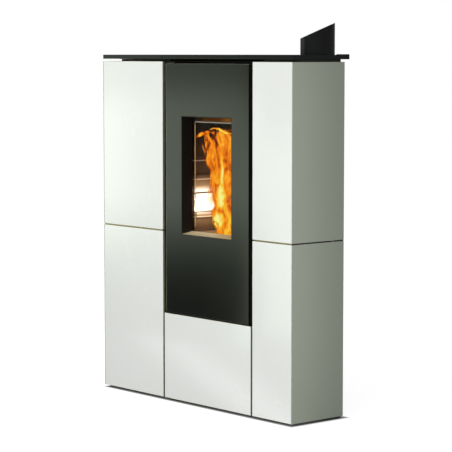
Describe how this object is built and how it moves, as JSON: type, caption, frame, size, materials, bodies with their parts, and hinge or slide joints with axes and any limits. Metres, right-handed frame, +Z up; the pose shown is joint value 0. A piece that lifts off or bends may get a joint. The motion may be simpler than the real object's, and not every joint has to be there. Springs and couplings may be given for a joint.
{
  "type": "pellet stove",
  "caption": "Slim corridor pellet stove with white front panels, a black glazed fire door, hopper lid, ash drawer and a mitred flue sleeve on its slab top.",
  "frame": {"origin": "on the floor, under the middle of the top slab", "axes": "+Z up, -Y out of the front with the door, +X to the right as seen from the front"},
  "size_m": [0.961, 0.242, 1.2495],
  "materials": {
    "white_glaze": "glossy",
    "side_paint": "satin",
    "dark_sheet": "satin",
    "slab_paint": "satin",
    "sleeve_paint": "satin",
    "zinc_steel": "brushed",
    "stove_steel": "matte",
    "fire_brick": "matte",
    "cast_pot": "matte",
    "black_glass": "glossy",
    "fire_glass": "glossy",
    "bronze": "satin",
    "rope": "matte",
    "seal_rubber": "matte",
    "black_plastic": "glossy",
    "red_plastic": "glossy",
    "board": "matte"
  },
  "bodies": {
    "cabinet": {"base_plate": "dark_sheet", "plinth": "dark_sheet", "levelling_feet": "zinc_steel", "corner_posts": "dark_sheet", "partitions": "dark_sheet", "top_plate": "dark_sheet", "hopper_collar": "dark_sheet", "back_panel": "dark_sheet", "panel_screws": "zinc_steel", "tile_left_upper": "white_glaze", "tile_left_lower": "white_glaze", "tile_right_upper": "white_glaze", "tile_right_lower": "white_glaze", "side_left_upper": "side_paint", "side_left_lower": "side_paint", "side_right_upper": "side_paint", "side_right_lower": "side_paint", "seam_profiles": "bronze", "top_slab": "slab_paint", "control_bezel": "black_plastic", "rear_cover": "slab_paint", "flue_sleeve": "sleeve_paint", "flue_pipe": "zinc_steel", "firebox_shell": "stove_steel", "firebox_back": "stove_steel", "firebox_front": "stove_steel", "side_liners": "fire_brick", "back_liner": "fire_brick", "baffle": "fire_brick", "pot_seat": "stove_steel", "igniter": "zinc_steel", "heat_tubes": "stove_steel", "smoke_collector": "zinc_steel", "smoke_riser": "zinc_steel", "smoke_elbow": "zinc_steel", "exhaust_housing": "zinc_steel", "hopper_bin": "zinc_steel", "hopper_funnel": "zinc_steel", "feed_tube": "zinc_steel", "feed_motor": "stove_steel", "pellet_chute": "zinc_steel", "air_intake": "zinc_steel", "blower_housing": "zinc_steel", "control_board": "board", "rear_sockets": "black_plastic", "hinge_brackets": "zinc_steel", "drawer_runners": "zinc_steel", "lid_hinges": "zinc_steel"},
    "fire_door": {"door_panel": "black_glass", "door_frame": "dark_sheet", "window_reveal": "bronze", "window_glass": "fire_glass", "glass_retainers": "zinc_steel", "door_gasket": "rope"},
    "latch": {"latch_lever": "stove_steel"},
    "lid": {"hopper_lid": "slab_paint", "lid_seal": "seal_rubber"},
    "drawer": {"ash_drawer": "zinc_steel", "drawer_front": "white_glaze"},
    "pot": {"burn_pot": "cast_pot"},
    "screw": {"feed_screw": "stove_steel"},
    "impeller": {"exhaust_impeller": "zinc_steel"},
    "rotor": {"blower_rotor": "stove_steel"},
    "rocker": {"power_switch": "black_plastic"},
    "reset": {"reset_button": "red_plastic"}
  },
  "joints": [
    {"name": "door_hinge", "type": "hinge", "parent": "cabinet", "child": "fire_door", "pos_m": [-0.1175, -0.1, 0.7], "axis": [0, 0, -1], "range_deg": [0, 100]},
    {"name": "latch_pivot", "type": "hinge", "parent": "fire_door", "child": "latch", "pos_m": [0.2795, -0.098, 0.735], "axis": [-1, 0, 0], "range_deg": [0, 35]},
    {"name": "lid_hinge", "type": "hinge", "parent": "cabinet", "child": "lid", "pos_m": [-0.3195, 0.104, 1.132], "axis": [-1, 0, 0], "range_deg": [0, 80]},
    {"name": "drawer_slide", "type": "slide", "parent": "cabinet", "child": "drawer", "axis": [0, -1, 0], "range_m": [0, 0.13]},
    {"name": "pot_lift", "type": "slide", "parent": "cabinet", "child": "pot", "axis": [0, 0, 1], "range_m": [0, 0.06]},
    {"name": "screw_turn", "type": "hinge", "parent": "cabinet", "child": "screw", "pos_m": [0.0695, 0.069, 0.7], "axis": [0.866, 0, 0.5], "continuous": true},
    {"name": "impeller_turn", "type": "hinge", "parent": "cabinet", "child": "impeller", "pos_m": [0.385, 0.038, 0.24], "axis": [0, 1, 0], "continuous": true},
    {"name": "rotor_turn", "type": "hinge", "parent": "cabinet", "child": "rotor", "pos_m": [0.04, 0.069, 0.19], "axis": [1, 0, 0], "continuous": true},
    {"name": "switch_rock", "type": "hinge", "parent": "cabinet", "child": "rocker", "pos_m": [0.383, 0.097, 0.07], "axis": [-1, 0, 0], "range_deg": [0, 16]},
    {"name": "reset_press", "type": "slide", "parent": "cabinet", "child": "reset", "axis": [0, -1, 0], "range_m": [0, 0.003], "stiffness_N_per_m": 400}
  ]
}
